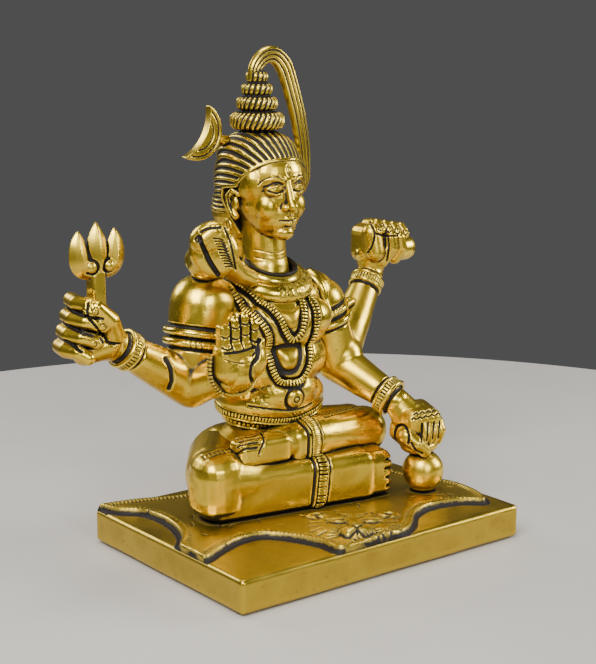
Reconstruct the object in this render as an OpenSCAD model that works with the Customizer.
// Seated four-armed figure on a pelt, in cast brass, on a rectangular plate.
// Origin: centre of the plate's underside. +Z is up, the figure faces -Y, and its own left is +X.
// Cast pieces are brazed face to face: a piece that another one overlaps is cut back by it.

/* [Base plate] */
// Width of the plate, left to right
plate_w = 118; // [105:1:150]
// Depth of the plate, front to back
plate_d = 86; // [72:1:110]
// Thickness of the plate
plate_t = 11.2; // [6:0.2:18]
// Worn chamfer along the plate's top edges
plate_edge = 0.6; // [0.2:0.1:1.5]
// Thickness of the pelt that lies on the plate
pelt_t = 1.8; // [1:0.1:3]
// Height of the animal's head above the pelt
pelt_head_h = 2.4; // [1:0.1:4]
// Share of the plate that the pelt spans between its paws
pelt_waist = 0.84; // [0.8:0.01:0.86]
// Least distance from the pelt to the plate's edge
pelt_margin = 1; // [0.8:0.1:3]

/* [Place of the figure on the plate] */
// Sideways place of the figure's middle
figure_x = -5; // [-10:0.5:10]
// Front-to-back place of the figure's middle
figure_y = 14; // [10:0.5:18]

/* [Legs] */
// Radius of the lower leg's knee
knee_r = 12; // [10:0.5:15]
// Radius of the lower shin
lower_shin_r = 8; // [6.5:0.5:9.6]
// Radius of the upper shin
upper_shin_r = 6.4; // [5:0.2:8]
// Sideways reach from the middle to the right knee
right_knee_reach = 25; // [21:0.5:30]
// Sideways reach from the middle to the left knee
left_knee_reach = 32.5; // [28:0.5:36]
// Sideways reach from the middle to the right foot's toes
right_toe_reach = 33; // [29:0.5:36]
// Sideways reach from the middle to the left foot's toes
left_toe_reach = 17; // [14:0.5:21]
// Radius of a thigh
thigh_r = 13; // [10:0.5:15]

/* [Torso] */
// Height of the hips above the pelt
hip_h = 27; // [24:0.5:32]
// Height of the shoulders above the hips
torso_h = 46; // [40:0.5:56]
// Half width of the waist
waist_hw = 20.5; // [17:0.5:24]
// Half depth of the waist
waist_hd = 15; // [12:0.5:18]
// Half width of the chest
chest_hw = 22; // [18:0.5:26]
// Half depth of the chest
chest_hd = 16; // [13:0.5:19]

/* [Head and hair] */
// Height of the head's middle above the shoulders
head_rise = 35; // [32:0.5:40]
// Radius of the neck
neck_r = 7.1; // [6:0.1:8.5]
// Half width of the head
head_hw = 12.6; // [11:0.2:14]
// Half depth of the head
head_hd = 14.5; // [12:0.5:17]
// Half height of the head
head_hh = 16.5; // [14:0.5:19]
// Thickness of the hair over the head
hair_t = 2.2; // [1.5:0.1:4]
// Radii of the bun's three tiers, lowest first
bun_tier_r = [9.2, 5.8, 3.8]; // [3:0.1:11]
// Heights of the bun's three tiers, lowest first
bun_tier_h = [7, 5.2, 5]; // [4:0.1:9]
// Reach of the water stream to the figure's left
stream_reach = 20; // [17:0.5:24]
// Height of the stream's top above the bun
stream_rise = 7.5; // [5:0.5:12]
// Length of the stream below its top
stream_drop = 46; // [35:1:55]
// Radius of the crescent moon's outer edge
moon_r = 10.5; // [8:0.5:13]
// Thickness of the crescent moon
moon_t = 2.6; // [1.6:0.2:4]

/* [Arms] */
// Sideways place of the shoulder joints from the middle
shoulder_reach = 28; // [24:0.5:32]
// Radius of the shoulder
shoulder_r = 11; // [9:0.5:13]
// Radius of the arm at the elbow
elbow_r = 8.6; // [7:0.2:10]
// Radius of the wrists
wrist_r = 4.6; // [3.8:0.2:6]
// Length of the upper arm
upper_arm_l = 29; // [25:0.5:35]
// Length from the elbow to the wrist of the rear right arm
rear_right_forearm_l = 34; // [30:0.5:40]
// Length from the elbow to the wrist of the rear left arm
rear_left_forearm_l = 39; // [35:0.5:45]
// Length from the elbow to the wrist of the front right arm
front_right_forearm_l = 19; // [16:0.5:23]

/* [Hands and what they hold] */
// Width of a fist across its four fingers
fist_w = 18; // [15:0.5:22]
// Thickness of a fist
fist_t = 15; // [13:0.5:18]
// Size of the fist that holds the trident, as a share of the other fists
trident_fist_share = 1.15; // [1:0.01:1.2]
// Width of the open palm
palm_w = 16; // [13:0.5:19]
// Height of the open hand
palm_h = 28; // [24:0.5:33]
// Thickness of the open palm
palm_t = 6; // [4:0.5:8]
// Radius of the trident's stem
stem_r = 3; // [2:0.1:4]
// Height of the trident's middle prong
prong_h = 19; // [15:0.5:24]
// Radius of the drum
drum_r = 4.7; // [4:0.1:6]
// Length of the drum
drum_l = 26; // [22:0.5:32]
// Radius of the water pot
pot_r = 7.4; // [6:0.2:9]

/* [Ornaments] */
// Thickness of a chain or a ring
wire_t = 2.2; // [1.4:0.1:3]
// Width of an anklet band
anklet_w = 3.2; // [2:0.2:5]
// Thickness of the snake's body round the neck
snake_t = 6.4; // [5:0.2:8]
// Radius of the navel disc
navel_r = 3; // [2:0.1:4]
// Height of the snake's raised hood
hood_h = 23; // [19:0.5:28]

/* [Hidden] */
ball_fn = 20;
small_fn = 8;
ring_fn = 64;
cut_fn = 32;

// heights
seat_z = plate_t + pelt_t;
hip_z = seat_z + hip_h;
shoulder_z = hip_z + torso_h;
head_z = shoulder_z + head_rise;
crown_z = head_z + head_hh + hair_t;
leg_bite = 0.4;
lower_shin_z = seat_z + lower_shin_r;
upper_shin_z = seat_z + 2 * lower_shin_r + upper_shin_r - leg_bite;

// leg joints
right_hip = [figure_x - 13, figure_y + 7, seat_z + thigh_r + 1];
right_knee = [figure_x - right_knee_reach, figure_y - 8, seat_z + knee_r];
right_ankle = [figure_x + 16, figure_y - 15, lower_shin_z];
right_toes = [figure_x + right_toe_reach, figure_y - 18, lower_shin_z - 0.5];
left_hip = [figure_x + 13, figure_y + 7, seat_z + thigh_r + 1];
left_knee = [figure_x + left_knee_reach, figure_y - 9, upper_shin_z - 1];
left_ankle = [figure_x - 2, figure_y - 11.5, upper_shin_z];
left_toes = [figure_x - left_toe_reach, figure_y - 12, upper_shin_z + 1];
toe_r = 4.4;

// torso outline: height, half width and half depth at each level
torso_levels = [
    [seat_z + 2, waist_hw + 4, waist_hd - 1],
    [hip_z, waist_hw + 2.5, waist_hd + 1],
    [hip_z + 0.22 * torso_h, waist_hw, waist_hd],
    [hip_z + 0.50 * torso_h, (waist_hw + chest_hw) / 2, (waist_hd + chest_hd) / 2 - 0.5],
    [hip_z + 0.78 * torso_h, chest_hw, chest_hd],
    [hip_z + 0.96 * torso_h, chest_hw + 1, chest_hd - 4],
    [shoulder_z + 4, neck_r + 3, neck_r + 3]
];
width_at = [for (level = torso_levels) [level[0], level[1]]];
depth_at = [for (level = torso_levels) [level[0], level[2]]];
level_hh = 3;

// arm joints
right_shoulder = [figure_x - shoulder_reach, figure_y + 3, shoulder_z - 3];
right_elbow = right_shoulder + upper_arm_l * [-0.14, -0.05, -0.90];
rear_right_dir = [-0.85, -0.02, 0.527];
rear_right_wrist = right_elbow + rear_right_forearm_l * rear_right_dir;
rear_right_fist_c = rear_right_wrist + (fist_t * 0.84) * rear_right_dir;
front_right_wrist = right_elbow + front_right_forearm_l * [0.16, -0.97, 0.17];
palm_foot = front_right_wrist + [0.3, -3.6, 0];
left_shoulder = [figure_x + shoulder_reach, figure_y + 3, shoulder_z - 3];
left_elbow = left_shoulder + upper_arm_l * [0.09, -0.03, -0.92];
rear_left_dir = [0.63, 0.275, 0.727];
rear_left_wrist = left_elbow + rear_left_forearm_l * rear_left_dir;
rear_left_fist_c = rear_left_wrist + [2.6, 0.3, 11.7];

// share of the upper arm down to the first armlet ring, and from one ring to the next
armlet_at = 0.34;
armlet_gap = 1.25 * wire_t / upper_arm_l;

// the pot stands on the pelt, and the front left fist lies on the pot
pot_c = [figure_x + 45.5, figure_y - 28, seat_z + pot_r];
front_left_fist_c = pot_c + [-1.5, 2, pot_r + fist_w * 0.45];
front_left_wrist = front_left_fist_c + [-5, 5.5, fist_w * 0.45];

// neck and head
ear_low = 11;
ear_r = 3;
neck_foot = [figure_x, figure_y + 3, shoulder_z - 4];
head_c = [figure_x, figure_y + 5, head_z];
hair_c = head_c + [0, 4, 1];
bun_c = [figure_x, figure_y + 7.5, crown_z - 1.5];
bun_h = bun_tier_h[0] + bun_tier_h[1] + bun_tier_h[2];
bun_top = bun_c + [0, 0, bun_h];
snake_c = [figure_x, figure_y + 1.5, shoulder_z + 4];
snake_ring_r = 12.5;
snake_tilt = 18;
hood_foot = [figure_x - 20, figure_y - 11, shoulder_z + 5];
hood_tip = hood_foot + [-11.5, -0.5, hood_h * 0.82];

function mix(a, b, t) = a + (b - a) * t;

// Depth of the torso's front surface at a sideways place and a height
function front_y(x, z) =
    figure_y - lookup(z, depth_at) * sqrt(max(0, 1 - pow((x - figure_x) / lookup(z, width_at), 2)));

// Point of a hanging chain: s runs from -1 to 1, and sag shapes it from a V (1) to a U (3)
function chain_point(half_w, top_z, low_z, sag, s) =
    let (x = figure_x + half_w * s, z = low_z + (top_z - low_z) * pow(abs(s), sag))
    [x, front_y(x, z), z];

// Point of the pelt's edge at an angle: paws reach to the corners, and the head to the front edge
function pelt_point(a) =
    let (r = pelt_waist + 0.55 * pow(abs(sin(2 * a)), 3) + 0.13 * pow(max(0, -sin(a)), 12))
    [r * (plate_w / 2 - pelt_margin) * cos(a), r * (plate_d / 2 - pelt_margin) * sin(a)];

// Point of the water stream: an arch from the bun's top to the figure's left, then a straight fall
function stream_point(t) =
    t < 0.5
    ? let (a = 180 - 360 * t)
      bun_top + [stream_reach / 2 * (1 + cos(a)), -3 * t, stream_rise * sin(a)]
    : bun_top + [stream_reach, -1.5 - 6 * (t - 0.5), -(t - 0.5) * 2 * (stream_drop - stream_rise)];

module ball(at, r, fn = ball_fn) { translate(at) sphere(r = r, $fn = fn); }
module oval(at, radii, fn = ball_fn) { translate(at) scale(radii) sphere(r = 1, $fn = fn); }

// Rounded limb between two balls
module limb(a, ra, b, rb, fn = ball_fn) {
    hull() {
        ball(a, ra, fn);
        ball(b, rb, fn);
    }
}

// Moves what follows to point a, with its +Z towards point b
module aim(a, b) {
    way = b - a;
    translate(a) rotate([0, acos(way[2] / norm(way)), atan2(way[1], way[0])]) children();
}

// Round ring on a limb, at the share t of the way from a to b
module limb_ring(a, b, t, r, wire = wire_t, fn = ring_fn) {
    aim(mix(a, b, t), b + (b - a))
    rotate_extrude($fn = fn) translate([r, 0]) circle(d = wire, $fn = fn / 4);
}

// Band on a limb, with a rounded outer face
module limb_band(a, b, t, r, w, wall = wire_t) {
    aim(mix(a, b, t), b + (b - a)) translate([0, 0, -w / 2])
    difference() {
        cylinder(r = r + wall / 2, h = w, $fn = cut_fn);
        translate([0, 0, -1]) cylinder(r = r - wall / 2, h = w + 2, $fn = cut_fn);
    }
}

// Chain of short links through points that a function gives
module chain(half_w, top_z, low_z, sag, links = 14) {
    for (i = [0 : links - 1])
        limb(chain_point(half_w, top_z, low_z, sag, -1 + 2 * i / links), wire_t / 2,
             chain_point(half_w, top_z, low_z, sag, -1 + 2 * (i + 1) / links), wire_t / 2, small_fn);
}

// Belt round the torso at a height: a slice of a slightly stouter torso, less the torso itself
module belt(z) {
    hw = lookup(z, width_at) + wire_t / 2;
    hd = lookup(z, depth_at) + wire_t / 2;
    difference() {
        translate([figure_x, figure_y, z - wire_t / 2]) linear_extrude(height = wire_t)
        scale([hw, hd]) circle(r = 1, $fn = 48);
        torso_form();
        right_leg_form();
        left_leg_form();
    }
}

// Closed hand about a point: palm block, four finger rolls along +Z, and a thumb on the -Y side
module fist_form(at, turn) {
    roll_r = fist_w / 8 + 0.3;
    translate(at) rotate(turn) {
        hull() for (x = [-1, 1], y = [-1, 1], z = [-1, 1])
            ball([x * (fist_t / 2 - 4) + 1.5, y * (fist_t / 2 - 4.5), z * (fist_w / 2 - 4)], 4, 12);
        for (i = [0 : 3])
            limb([-fist_t / 2 + 3, -fist_t / 2 + 3, (i - 1.5) * fist_w / 4], roll_r,
                 [fist_t / 2 - 3, -fist_t / 2 + 2.4, (i - 1.5) * fist_w / 4], roll_r, 10);
        for (i = [0 : 1])
            limb([-fist_t / 2 + 2 + i, fist_t / 2 - 4, (i - 0.5) * fist_w / 2], roll_r,
                 [fist_t / 2 - 3, fist_t / 2 - 4, (i - 0.5) * fist_w / 2], roll_r, 10);
        limb([fist_t / 2 - 1, -fist_t / 2 + 1, fist_w / 2 - 2], 2.2,
             [fist_t / 2 - 6, -fist_t / 2 + 0.6, fist_w / 2], 2, 10);
    }
}

module right_leg_form() {
    limb(right_hip, thigh_r, right_knee, knee_r);
    limb(right_knee, knee_r, mix(right_knee, right_ankle, 0.4), lower_shin_r + 0.6);
    limb(mix(right_knee, right_ankle, 0.4), lower_shin_r + 0.6, right_ankle, lower_shin_r);
    limb(right_ankle, lower_shin_r, right_toes, toe_r);
}

module left_leg_form() {
    limb(left_hip, thigh_r, left_knee, upper_shin_r + 2.6);
    limb(left_knee, upper_shin_r + 2.6, left_ankle, upper_shin_r);
    limb(left_ankle, upper_shin_r, left_toes, toe_r);
}

module torso_form() {
    for (i = [0 : len(torso_levels) - 2]) hull() for (level = [torso_levels[i], torso_levels[i + 1]])
        oval([figure_x, figure_y, level[0]], [level[1], level[2], level_hh]);
}

module right_upper_arm_form() {
    limb(right_shoulder, shoulder_r, mix(right_shoulder, right_elbow, 0.45), shoulder_r - 0.8);
    limb(mix(right_shoulder, right_elbow, 0.45), shoulder_r - 0.8, right_elbow, elbow_r);
}
module rear_right_forearm_form() { limb(right_elbow, elbow_r - 0.8, rear_right_wrist, wrist_r); }
module front_right_arm_form() { limb(right_elbow, elbow_r - 1.6, front_right_wrist, wrist_r + 1); }

module left_upper_arm_form() {
    limb(left_shoulder, shoulder_r, mix(left_shoulder, left_elbow, 0.45), shoulder_r - 0.8);
    limb(mix(left_shoulder, left_elbow, 0.45), shoulder_r - 0.8, left_elbow, elbow_r);
}
module rear_left_forearm_form() { limb(left_elbow, elbow_r - 0.8, rear_left_wrist, wrist_r); }
module front_left_forearm_form() { limb(left_elbow, elbow_r - 1.6, front_left_wrist, wrist_r); }

module rear_right_fist_form() {
    translate(rear_right_fist_c) scale(trident_fist_share) fist_form([0, 0, 0], [0, 0, 0]);
}
module rear_left_fist_form() { fist_form(rear_left_fist_c, [0, 90, 10]); }
module front_left_fist_form() { fist_form(front_left_fist_c, [0, 0, -10]); }

module palm_form() {
    hull() for (x = [-1, 1]) {
        ball(palm_foot + [x * (palm_w / 2 - 4), 0, 0.12 * palm_h], palm_t / 2, 12);
        ball(palm_foot + [x * (palm_w / 2 - palm_t / 2), -1, 0.5 * palm_h], palm_t / 2, 12);
    }
    for (i = [0 : 3])
        limb(palm_foot + [(i - 1.5) * palm_w / 4.4, -1, 0.5 * palm_h], palm_w / 8,
             palm_foot + [(i - 1.5) * palm_w / 4.6, -0.6, (0.92 - 0.05 * abs(i - 1.5)) * palm_h],
             palm_w / 8.6, 10);
    limb(palm_foot + [palm_w / 2 - 4, -1, 0.2 * palm_h], 2.6,
         palm_foot + [palm_w / 2 - 0.5, -2, 0.42 * palm_h], 2.2, 10);
}

module head_form() {
    hull() {
        oval(head_c, [head_hw, head_hd, head_hh]);
        oval(head_c + [0, -head_hd / 2 + 0.5, -head_hh + 5], [head_hw - 4.5, 6.5, 5]);
    }
    limb(neck_foot, neck_r, head_c + [0, -1, -head_hh + 5], neck_r);
    hull() {
        ball(head_c + [0, -head_hd + 0.4, 3], 1.2, 12);
        ball(head_c + [0, -head_hd - 1.6, -3.5], 1.8, 12);
    }
    for (side = [-1, 1]) hull() for (z = [ear_r - ear_low, -2])
        oval(head_c + [side * (head_hw + 0.2), 1, z], [1.6, ear_r, ear_r], 12);
}

module hair_form() {
    hull() {
        oval(hair_c, [head_hw + hair_t, head_hd + 1, head_hh + hair_t - 1]);
        oval(hair_c + [0, 6, -head_hh + 2], [head_hw - 1, 9, 8]);
    }
    limb(hair_c + [0, 7, -head_hh], 8, snake_c + [0, 12, 0], 6);
}

module hair_bun_form() {
    tier_z = [0, bun_tier_h[0], bun_tier_h[0] + bun_tier_h[1]];
    for (i = [0 : 2]) translate(bun_c + [0, 0, tier_z[i]])
        rotate_extrude($fn = ring_fn) {
            translate([bun_tier_r[i] - bun_tier_h[i] / 2, bun_tier_h[i] / 2])
            intersection() {
                circle(d = bun_tier_h[i], $fn = 32);
                translate([0, -bun_tier_h[i] / 2]) square([bun_tier_h[i], bun_tier_h[i]]);
            }
            square([bun_tier_r[i] - bun_tier_h[i] / 2 + 0.01, bun_tier_h[i]]);
        }
}

// Ring of the snake's body, leaning forward round the neck
module snake_ring_form() {
    translate(snake_c) rotate([snake_tilt, 0, 0])
    rotate_extrude($fn = 48) translate([snake_ring_r, 0]) circle(d = snake_t, $fn = 14);
}

module collar_ring_form() {
    aim(neck_foot + [0, -0.5, 10.5], neck_foot + [0, -4, 30])
    rotate_extrude($fn = cut_fn) translate([neck_r + 0.6, 0]) circle(d = wire_t, $fn = 14);
}

module below_seat() { translate([figure_x - 60, figure_y - 60, seat_z - 40]) cube([120, 120, 40]); }

// ---- base ----

module base_plate() {
    color("goldenrod") difference() {
        translate([-plate_w / 2, -plate_d / 2, 0]) cube([plate_w, plate_d, plate_t]);
        for (side = [-1, 1]) {
            translate([side * plate_w / 2, 0, plate_t]) rotate([0, 45, 0])
            cube([plate_edge * sqrt(2), plate_d + 2, plate_edge * sqrt(2)], center = true);
            translate([0, side * plate_d / 2, plate_t]) rotate([45, 0, 0])
            cube([plate_w + 2, plate_edge * sqrt(2), plate_edge * sqrt(2)], center = true);
        }
    }
}

module tiger_skin() {
    head_r = 13;
    cap_r = (head_r * head_r + pelt_head_h * pelt_head_h) / (2 * pelt_head_h);
    color("darkgoldenrod") {
        translate([0, 0, plate_t]) linear_extrude(height = pelt_t)
        polygon([for (a = [0 : 5 : 355]) pelt_point(a)]);
        intersection() {
            translate([figure_x, -plate_d / 2 + head_r + 1.5, seat_z + pelt_head_h - cap_r])
            sphere(r = cap_r);
            translate([figure_x - head_r, -plate_d / 2 + 1.5, seat_z - 1])
            cube([2 * head_r, 2 * head_r, pelt_head_h + 1]);
        }
    }
}

// ---- legs ----

module right_leg() {
    color("gold") difference() {
        right_leg_form();
        below_seat();
        right_anklet_form();
        for (i = [0 : 3]) hull() for (x = [0, 6])
            ball(right_toes + [x, -toe_r + 0.6, (i - 1.5) * 2.1 + 0.6], 0.35, small_fn);
    }
}

module left_leg() {
    color("gold") difference() {
        left_leg_form();
        right_leg_form();
        below_seat();
        left_anklet_form();
        right_anklet_form();
    }
}

module right_anklet_form() { limb_band(right_ankle, right_knee, 0.24, lower_shin_r + 0.25, anklet_w); }
module left_anklet_form() { limb_band(left_ankle, left_knee, 0.12, upper_shin_r + 0.4, anklet_w); }

module right_anklet() {
    color("khaki") difference() {
        right_anklet_form();
        below_seat();
        torso_form();
    }
}

module left_anklet() {
    color("khaki") difference() {
        left_anklet_form();
        right_anklet_form();
        torso_form();
        limb(mix(right_knee, right_ankle, 0.4), lower_shin_r + 0.6, right_ankle, lower_shin_r);
    }
}

// ---- torso and what is chased on it ----

module torso() {
    color("gold") difference() {
        torso_form();
        right_leg_form();
        left_leg_form();
        below_seat();
    }
}

module upper_belt() {
    color("khaki") belt(hip_z + 7);
}
module lower_belt() {
    color("khaki") belt(hip_z + 2.5);
}

module navel_disc_form() {
    at_z = hip_z + 7 + wire_t / 2 + navel_r;
    translate([figure_x - 1, front_y(figure_x - 1, at_z) + 2, at_z]) rotate([90, 0, 0]) {
        cylinder(r = navel_r, h = 3, $fn = ring_fn);
        cylinder(r = navel_r / 3, h = 3.5, $fn = 24);
    }
}

module navel_disc() {
    color("khaki") difference() {
        navel_disc_form();
        torso_form();
    }
}

module chest_pendant() {
    low_z = hip_z + 0.38 * torso_h;
    high_z = hip_z + 0.58 * torso_h;
    color("gold") difference() {
        translate([figure_x, front_y(figure_x, (low_z + high_z) / 2) + 2.5, 0]) rotate([90, 0, 0])
        linear_extrude(height = 3.6) {
            translate([0, low_z + 3]) circle(r = 3, $fn = 32);
            polygon([[-3, low_z + 3], [3, low_z + 3], [4.4, high_z], [-4.4, high_z]]);
        }
        torso_form();
    }
}

module short_necklace() {
    color("khaki") difference() {
        chain(15, shoulder_z - 1, hip_z + 0.67 * torso_h, 1.2);
        torso_form();
        snake_ring_form();
    }
}

module long_necklace() {
    color("khaki") difference() {
        chain(16, shoulder_z - 2, hip_z + 0.32 * torso_h, 3);
        torso_form();
        snake_ring_form();
        chain(15, shoulder_z - 1, hip_z + 0.67 * torso_h, 1.2);
        navel_disc_form();
        right_upper_arm_form();
        left_upper_arm_form();
    }
}

module collar() {
    color("khaki") difference() {
        collar_ring_form();
        snake_ring_form();
        torso_form();
    }
}

module snake_coil() {
    color("goldenrod") difference() {
        snake_ring_form();
        torso_form();
        right_upper_arm_form();
        left_upper_arm_form();
    }
}

module snake_hood() {
    color("goldenrod") difference() {
        union() {
            hull() {
                oval(mix(hood_foot, hood_tip, 0.75), [8, 3, 6]);
                ball(hood_foot + [0, 0, 2], 2.8, 12);
            }
            hull() {
                oval(mix(hood_foot, hood_tip, 0.75), [8, 3, 6]);
                ball(hood_tip, 2.6, 12);
            }
            limb(mix(hood_foot, hood_tip, 0.5), 3, hood_foot + [-10, 12, 3], 4, 12);
            limb(hood_foot + [-10, 12, 3], 4, hood_foot + [4, 16, 0], 4.5, 12);
        }
        torso_form();
        right_upper_arm_form();
        snake_ring_form();
        head_form();
        hair_form();
    }
}

// ---- head and hair ----

module head() {
    color("gold") difference() {
        head_form();
        torso_form();
        snake_ring_form();
        collar_ring_form();
    }
}

module earring(side) {
    at = head_c + [side * (head_hw + 0.6), 1, -ear_low - 1.2];
    color("khaki") difference() {
        union() {
            translate(at) rotate([0, 90, 0])
            rotate_extrude($fn = 32) translate([1.6, 0]) circle(d = 1.5, $fn = 16);
            translate(at - [0, 0, 3.2]) sphere(r = 1.3, $fn = 24);
        }
        head_form();
        hair_form();
    }
}
module right_earring() { earring(-1); }
module left_earring() { earring(1); }

module hair_cap() {
    color("goldenrod") difference() {
        hair_form();
        head_form();
        torso_form();
        snake_ring_form();
        collar_ring_form();
    }
}

module hair_bun() {
    color("goldenrod") difference() {
        hair_bun_form();
        hair_form();
        head_form();
    }
}

module crescent_moon() {
    moon_c = head_c + [-head_hw - moon_r - 0.6, 4, head_hh + 1.5];
    color("khaki") difference() {
        union() {
            translate(moon_c + [0, moon_t / 2, 0]) rotate([90, 0, 0])
            linear_extrude(height = moon_t) difference() {
                circle(r = moon_r, $fn = 96);
                translate([-moon_r * 0.42, moon_r * 0.42]) circle(r = moon_r * 0.9, $fn = 96);
            }
            translate(moon_c + [moon_r * 0.62, 0, -moon_r * 0.5])
            rotate([0, 90, 0]) cylinder(d = moon_t, h = head_hw * 0.6, $fn = 24);
        }
        hair_form();
        head_form();
        hair_bun_form();
    }
}

module water_stream() {
    steps = 18;
    color("goldenrod") difference() {
        for (i = [0 : steps - 1]) hull() for (k = [i, i + 1])
            oval(stream_point(k / steps), [2, 3, 2] * (k > steps - 3 ? 0.6 : 1), small_fn);
        hair_bun_form();
        hair_form();
        head_form();
    }
}

// ---- right arms ----

module right_upper_arm() {
    color("gold") difference() {
        right_upper_arm_form();
        torso_form();
        right_armlet_form();
        right_leg_form();
    }
}

module right_armlet_form() {
    for (share = [armlet_at, armlet_at + armlet_gap])
        limb_ring(right_shoulder, right_elbow, share, shoulder_r - 0.6, wire_t, cut_fn);
}
module right_armlet() {
    color("khaki") difference() {
        right_armlet_form();
        torso_form();
    }
}

module rear_right_forearm() {
    color("gold") difference() {
        rear_right_forearm_form();
        right_upper_arm_form();
        front_right_arm_form();
        torso_form();
        rear_right_bracelet();
    }
}

module rear_right_bracelet() {
    color("khaki") limb_band(right_elbow, rear_right_wrist, 0.86, wrist_r + 0.8, wire_t * 1.6);
}

module rear_right_fist() {
    color("gold") difference() {
        rear_right_fist_form();
        rear_right_forearm_form();
        rear_right_bracelet();
    }
}

module trident() {
    foot = rear_right_fist_c + [3, 0, fist_w / 2 - 4];
    neck = foot + [0, 0, 9];
    color("khaki") difference() {
        union() {
            translate(foot) cylinder(r = stem_r, h = 9, $fn = 48);
            prong(neck, 0, prong_h);
            prong(neck + [-stem_r * 0.7, 0, 1.5], -32, prong_h * 0.86);
            prong(neck + [stem_r * 0.7, 0, 1.5], 32, prong_h * 0.86);
        }
        rear_right_fist_form();
    }
}

// Bud-shaped prong: swells from its foot and comes to a point, leaning by an angle
module prong(at, lean, h) {
    translate(at) rotate([0, lean, 0]) rotate_extrude($fn = 32)
    polygon([[0, -1], [1.6, -1], [2.4, 0.15 * h], [3.4, 0.42 * h], [2.9, 0.62 * h], [0, h]]);
}

module front_right_hand() {
    color("gold") difference() {
        union() {
            front_right_arm_form();
            palm_form();
        }
        right_upper_arm_form();
        torso_form();
        right_leg_form();
        left_leg_form();
        front_right_bracelet();
    }
}

module front_right_bracelet() {
    color("khaki") limb_band(right_elbow, front_right_wrist, 0.86, wrist_r + 1.6, wire_t * 1.3);
}

// ---- left arms ----

module left_upper_arm() {
    color("gold") difference() {
        left_upper_arm_form();
        torso_form();
        left_armlet_form();
        left_leg_form();
    }
}

module left_armlet_form() {
    for (share = [armlet_at, armlet_at + armlet_gap])
        limb_ring(left_shoulder, left_elbow, share, shoulder_r - 0.6, wire_t, cut_fn);
}
module left_armlet() {
    color("khaki") difference() {
        left_armlet_form();
        torso_form();
    }
}

module rear_left_forearm() {
    color("gold") difference() {
        rear_left_forearm_form();
        left_upper_arm_form();
        left_armlet_form();
        front_left_forearm_form();
        torso_form();
        rear_left_bracelet();
        drum();
    }
}

module rear_left_bracelet() {
    color("khaki") limb_band(left_elbow, rear_left_wrist, 0.88, wrist_r + 0.8, wire_t * 1.6);
}

module rear_left_fist() {
    color("gold") difference() {
        rear_left_fist_form();
        rear_left_forearm_form();
        rear_left_bracelet();
        drum();
    }
}

module drum() {
    color("khaki") translate(rear_left_fist_c + [-drum_l / 2 + 5, 0, -fist_t / 2 + 2.6])
    rotate([0, 90, 5]) cylinder(r = drum_r, h = drum_l, $fn = 64);
}

module front_left_forearm() {
    color("gold") difference() {
        front_left_forearm_form();
        left_upper_arm_form();
        torso_form();
        left_leg_form();
        front_left_bracelet();
        front_left_fist_form();
    }
}

module front_left_bracelet() {
    color("khaki") difference() {
        limb_band(left_elbow, front_left_wrist, 0.84, wrist_r + 1.2, wire_t * 1.6);
        left_leg_form();
        front_left_fist_form();
    }
}

module front_left_fist() {
    color("gold") difference() {
        front_left_fist_form();
        left_leg_form();
        right_leg_form();
        water_pot();
    }
}

module water_pot() {
    color("gold") difference() {
        translate(pot_c) sphere(r = pot_r, $fn = 64);
        below_seat();
    }
}

base_plate();
tiger_skin();
right_leg();
left_leg();
right_anklet();
left_anklet();
torso();
upper_belt();
lower_belt();
navel_disc();
collar();
snake_coil();
snake_hood();
short_necklace();
long_necklace();
chest_pendant();
head();
right_earring();
left_earring();
hair_cap();
hair_bun();
crescent_moon();
water_stream();
right_upper_arm();
rear_right_forearm();
rear_right_fist();
trident();
front_right_hand();
left_upper_arm();
rear_left_forearm();
rear_left_fist();
drum();
front_left_forearm();
front_left_fist();
water_pot();
right_armlet();
left_armlet();
rear_right_bracelet();
front_right_bracelet();
rear_left_bracelet();
front_left_bracelet();
